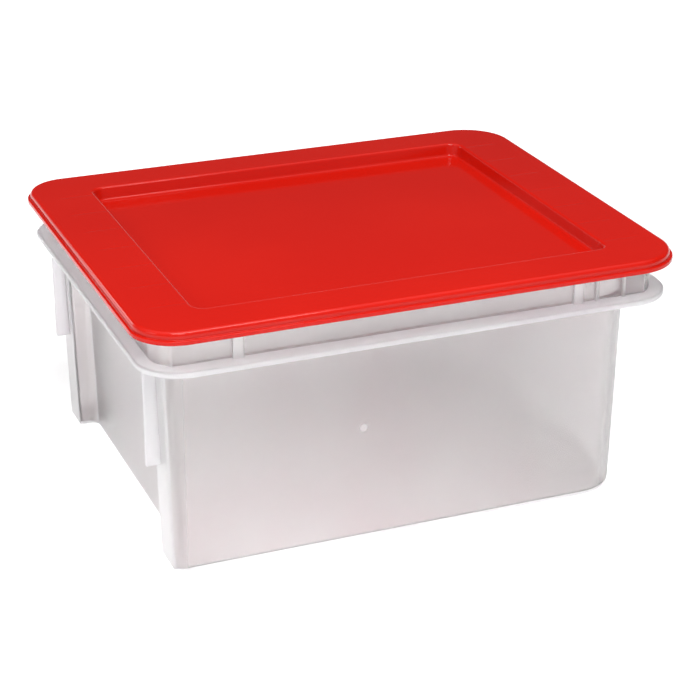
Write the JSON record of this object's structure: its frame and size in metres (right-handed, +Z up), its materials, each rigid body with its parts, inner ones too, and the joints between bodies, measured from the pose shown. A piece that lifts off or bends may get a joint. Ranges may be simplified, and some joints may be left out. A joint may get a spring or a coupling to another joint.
{
  "type": "art supply box",
  "caption": "Clear moulded tub with end posts, stop fins and a carrying flange that nests or stacks when turned, closed by a red lift-off lid with a sunken panel.",
  "frame": {"origin": "under the middle of the box, on the surface that it stands on", "axes": "+X along the box away from the end with the two corner posts, +Y towards the back, +Z up"},
  "size_m": [0.432, 0.358, 0.2017],
  "materials": {
    "clear_plastic": "milky translucent moulded polypropylene",
    "red_plastic": "glossy moulded polypropylene"
  },
  "bodies": {
    "tub": {"tub": "clear_plastic"},
    "lid": {"lid": "red_plastic"}
  },
  "joints": [
    {"name": "lid_lift", "type": "slide", "parent": "tub", "child": "lid", "axis": [0, 0, 1], "range_m": [0, 0.15]}
  ]
}
